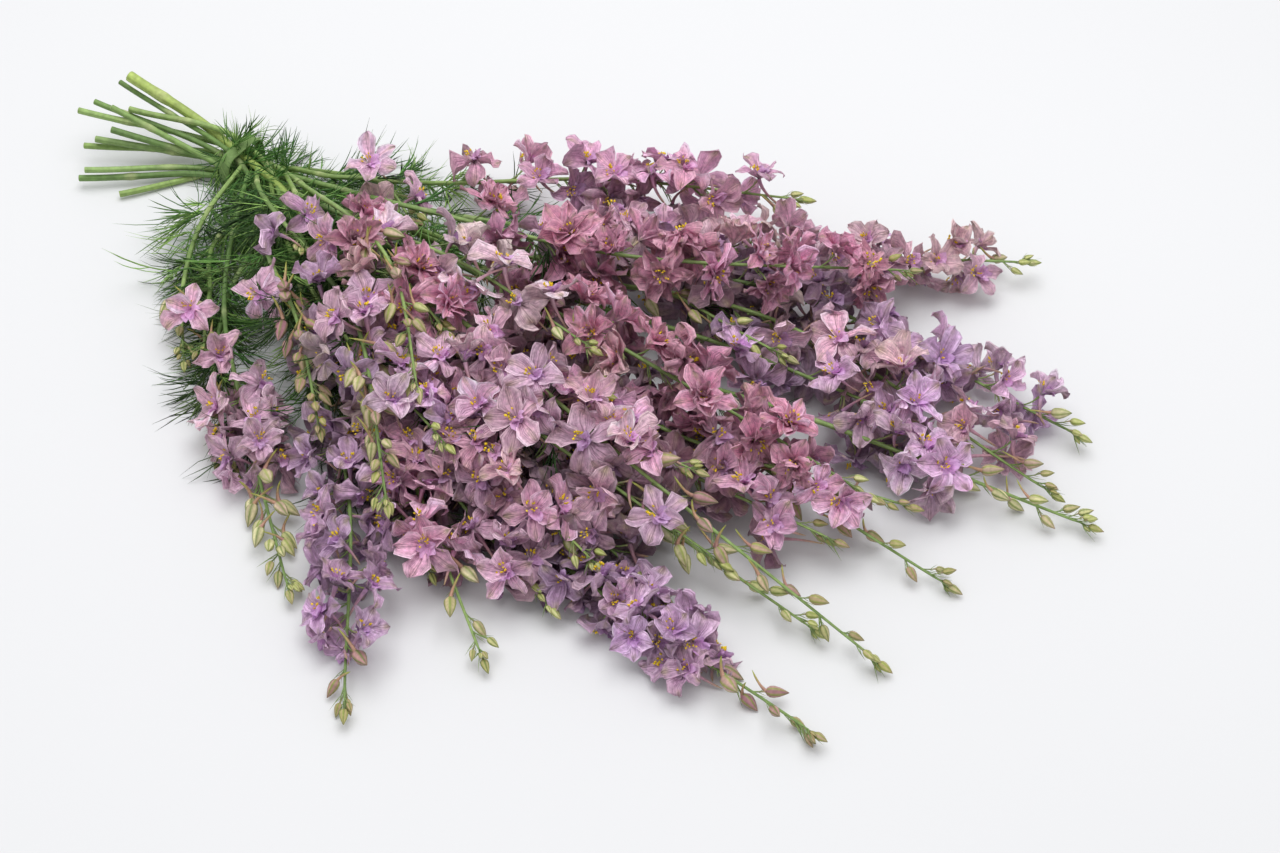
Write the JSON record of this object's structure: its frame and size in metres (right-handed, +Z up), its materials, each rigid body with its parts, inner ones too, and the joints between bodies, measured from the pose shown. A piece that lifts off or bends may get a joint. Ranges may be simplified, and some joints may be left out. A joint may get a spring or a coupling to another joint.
{
  "type": "tied bunch of cut larkspur flowers",
  "caption": "Fanned sheaf of cut larkspur lying down, its stems held by a rubber tie at the waist, with side shoots, feathery leaves and spikes of florets and buds.",
  "frame": {"origin": "on the surface that the bunch lies on, midway under the tie", "axes": "+X along the bunch from the cut ends to the flowers, +Y across it, +Z up from the surface"},
  "size_m": [0.7604, 0.535, 0.1032],
  "materials": {
    "petal": "matte",
    "stem": "satin",
    "tie": "matte"
  },
  "bodies": {
    "root": {"tie": "tie", "stem_01": "stem", "stem_02": "stem", "stem_03": "stem", "stem_04": "stem", "stem_05": "stem", "stem_06": "stem", "stem_07": "stem", "stem_08": "stem", "stem_09": "stem", "stem_10": "stem", "stem_11": "stem", "stem_12": "stem", "spray_01": "petal", "spray_02": "petal", "spray_03": "petal", "spray_04": "petal", "spray_05": "petal", "spray_06": "petal", "spray_07": "petal", "spray_08": "petal", "spray_09": "petal", "spray_10": "petal", "spray_11": "petal", "spray_12": "petal", "spray_13": "petal", "spray_14": "petal", "spray_15": "petal", "spray_16": "petal", "spray_17": "petal", "spray_18": "petal", "spray_19": "petal", "spray_20": "petal", "spray_21": "petal", "spray_22": "petal", "spray_23": "petal", "spray_24": "petal", "spray_25": "petal", "spray_26": "petal", "spray_27": "petal", "spray_28": "petal", "spray_29": "petal", "spray_30": "petal", "spray_31": "petal", "spray_32": "petal", "spray_33": "petal", "spray_34": "petal", "spray_35": "petal", "spray_36": "petal"}
  },
  "joints": []
}
